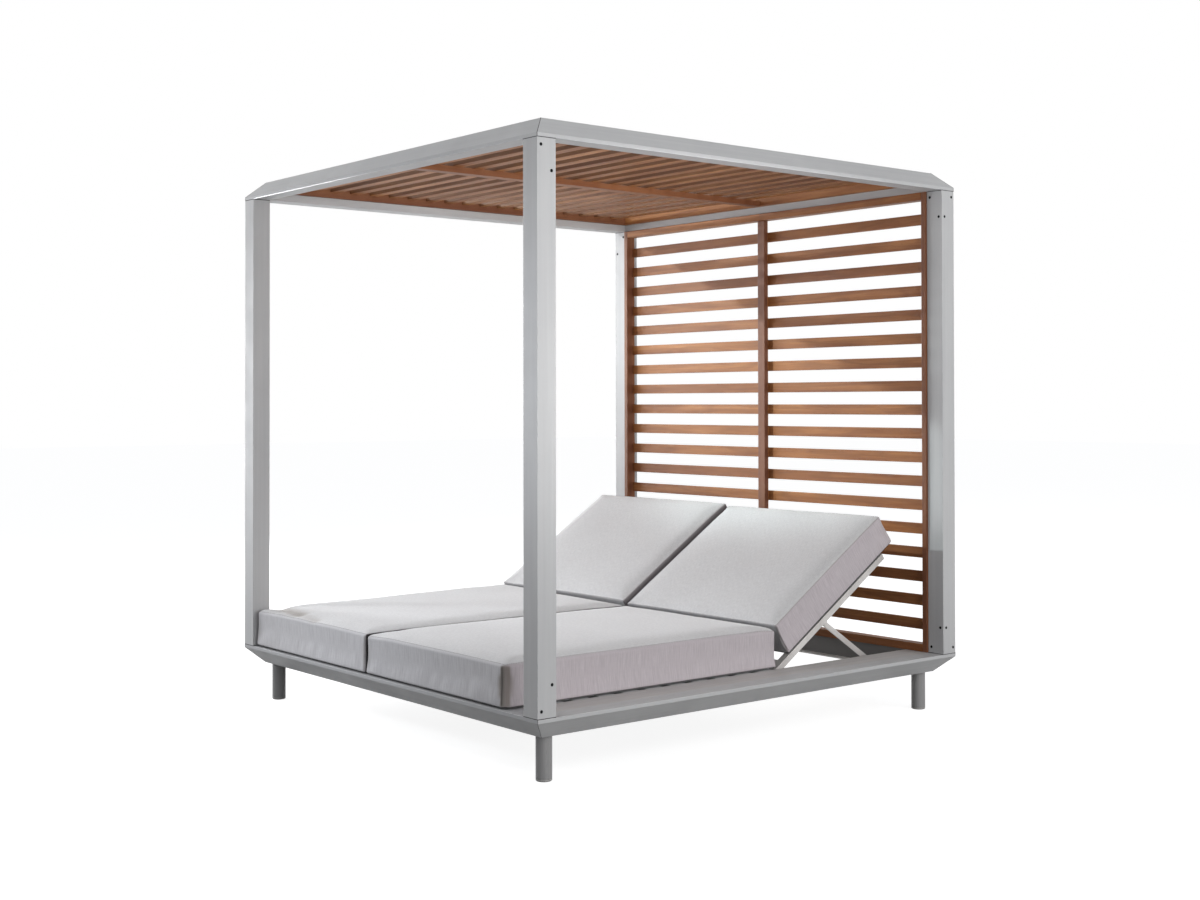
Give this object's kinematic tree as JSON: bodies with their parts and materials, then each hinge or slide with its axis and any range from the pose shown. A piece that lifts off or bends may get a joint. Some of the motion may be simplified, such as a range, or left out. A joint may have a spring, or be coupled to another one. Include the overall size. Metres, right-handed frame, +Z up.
{
  "type": "outdoor daybed with canopy",
  "caption": "Square outdoor double daybed: metal frame on round legs, slatted wood roof and headboard, seat and back cushions on reclining backrests, and a shelf along one side.",
  "frame": {"origin": "on the floor, under the centre of the outer frame", "axes": "+Z up, +Y from the open foot end to the slatted headboard, +X across the two mattresses towards the side with the shelf"},
  "size_m": [2.1, 2.176, 2.231],
  "materials": {
    "frame_metal": "satin powder coat, light warm grey",
    "hardware_metal": "satin",
    "teak": "oiled teak, fine straight grain",
    "cushion_fabric": "woven outdoor cloth, pale warm grey",
    "glide_plastic": "matte"
  },
  "bodies": {
    "frame": {"base_rail_foot": "frame_metal", "base_rail_right": "frame_metal", "base_rail_head": "frame_metal", "base_rail_left": "frame_metal", "roof_rail_foot": "frame_metal", "roof_rail_right": "frame_metal", "roof_rail_head": "frame_metal", "roof_rail_left": "frame_metal", "post_foot_left": "frame_metal", "post_foot_right": "frame_metal", "post_head_left": "frame_metal", "post_head_right": "frame_metal", "leg_foot_left": "frame_metal", "leg_foot_right": "frame_metal", "leg_head_left": "frame_metal", "leg_head_right": "frame_metal", "leg_plate_foot_left": "frame_metal", "leg_plate_foot_right": "frame_metal", "leg_plate_head_left": "frame_metal", "leg_plate_head_right": "frame_metal", "glide_foot_left": "glide_plastic", "glide_foot_right": "glide_plastic", "glide_head_left": "glide_plastic", "glide_head_right": "glide_plastic", "side_shelf": "frame_metal", "ledge_bar": "frame_metal", "centre_beam_foot": "frame_metal", "centre_beam_head": "frame_metal", "cross_member": "frame_metal", "seat_deck_left": "frame_metal", "seat_deck_right": "frame_metal", "headboard_stile_left": "teak", "headboard_stile_right": "teak", "headboard_rail_bottom": "teak", "headboard_rail_top": "teak", "headboard_slats": "teak", "roof_bearer_left": "teak", "roof_bearer_right": "teak", "roof_end_rail_foot": "teak", "roof_end_rail_head": "teak", "roof_slats": "teak", "hinge_rod_left": "hardware_metal", "hinge_rod_right": "hardware_metal", "rack_right_outer": "hardware_metal", "rack_right_inner": "hardware_metal", "rack_left_outer": "hardware_metal", "rack_left_inner": "hardware_metal", "seat_cushion_left": "cushion_fabric", "seat_cushion_right": "cushion_fabric"},
    "backrest_left": {"backrest_frame_left": "hardware_metal"},
    "stay_left": {"stay_bar_left_outer": "hardware_metal", "stay_bar_left_inner": "hardware_metal", "stay_rod_left": "hardware_metal"},
    "back_cushion_left": {"back_cushion_left": "cushion_fabric"},
    "backrest_right": {"backrest_frame_right": "hardware_metal"},
    "stay_right": {"stay_bar_right_inner": "hardware_metal", "stay_bar_right_outer": "hardware_metal", "stay_rod_right": "hardware_metal"},
    "back_cushion_right": {"back_cushion_right": "cushion_fabric"}
  },
  "joints": [
    {"name": "backrest_left_hinge", "type": "hinge", "parent": "frame", "child": "backrest_left", "pos_m": [-0.52775, 0.232, 0.2208], "axis": [1, 0, 0], "range_deg": [-33, 27]},
    {"name": "stay_left_pivot", "type": "hinge", "parent": "backrest_left", "child": "stay_left", "pos_m": [-0.52775, 0.53516, 0.38191], "axis": [1, 0, 0], "range_deg": [-54.5, 66.5]},
    {"name": "back_cushion_left_slide", "type": "slide", "parent": "backrest_left", "child": "back_cushion_left", "axis": [0, 0.8387, 0.5446], "range_m": [-0.093, 0.076]},
    {"name": "backrest_right_hinge", "type": "hinge", "parent": "frame", "child": "backrest_right", "pos_m": [0.41075, 0.232, 0.2208], "axis": [1, 0, 0], "range_deg": [-33, 27]},
    {"name": "stay_right_pivot", "type": "hinge", "parent": "backrest_right", "child": "stay_right", "pos_m": [0.41075, 0.53516, 0.38191], "axis": [1, 0, 0], "range_deg": [-54.5, 66.5]},
    {"name": "back_cushion_right_slide", "type": "slide", "parent": "backrest_right", "child": "back_cushion_right", "axis": [0, 0.8387, 0.5446], "range_m": [-0.093, 0.076]}
  ],
  "couplings": [
    {"joint": "stay_left_pivot", "follows": "backrest_left_hinge", "ratio": -2},
    {"joint": "back_cushion_left_slide", "follows": "backrest_left_hinge", "m_per_rad": 0.1597},
    {"joint": "stay_right_pivot", "follows": "backrest_right_hinge", "ratio": -2},
    {"joint": "back_cushion_right_slide", "follows": "backrest_right_hinge", "m_per_rad": 0.1597}
  ]
}
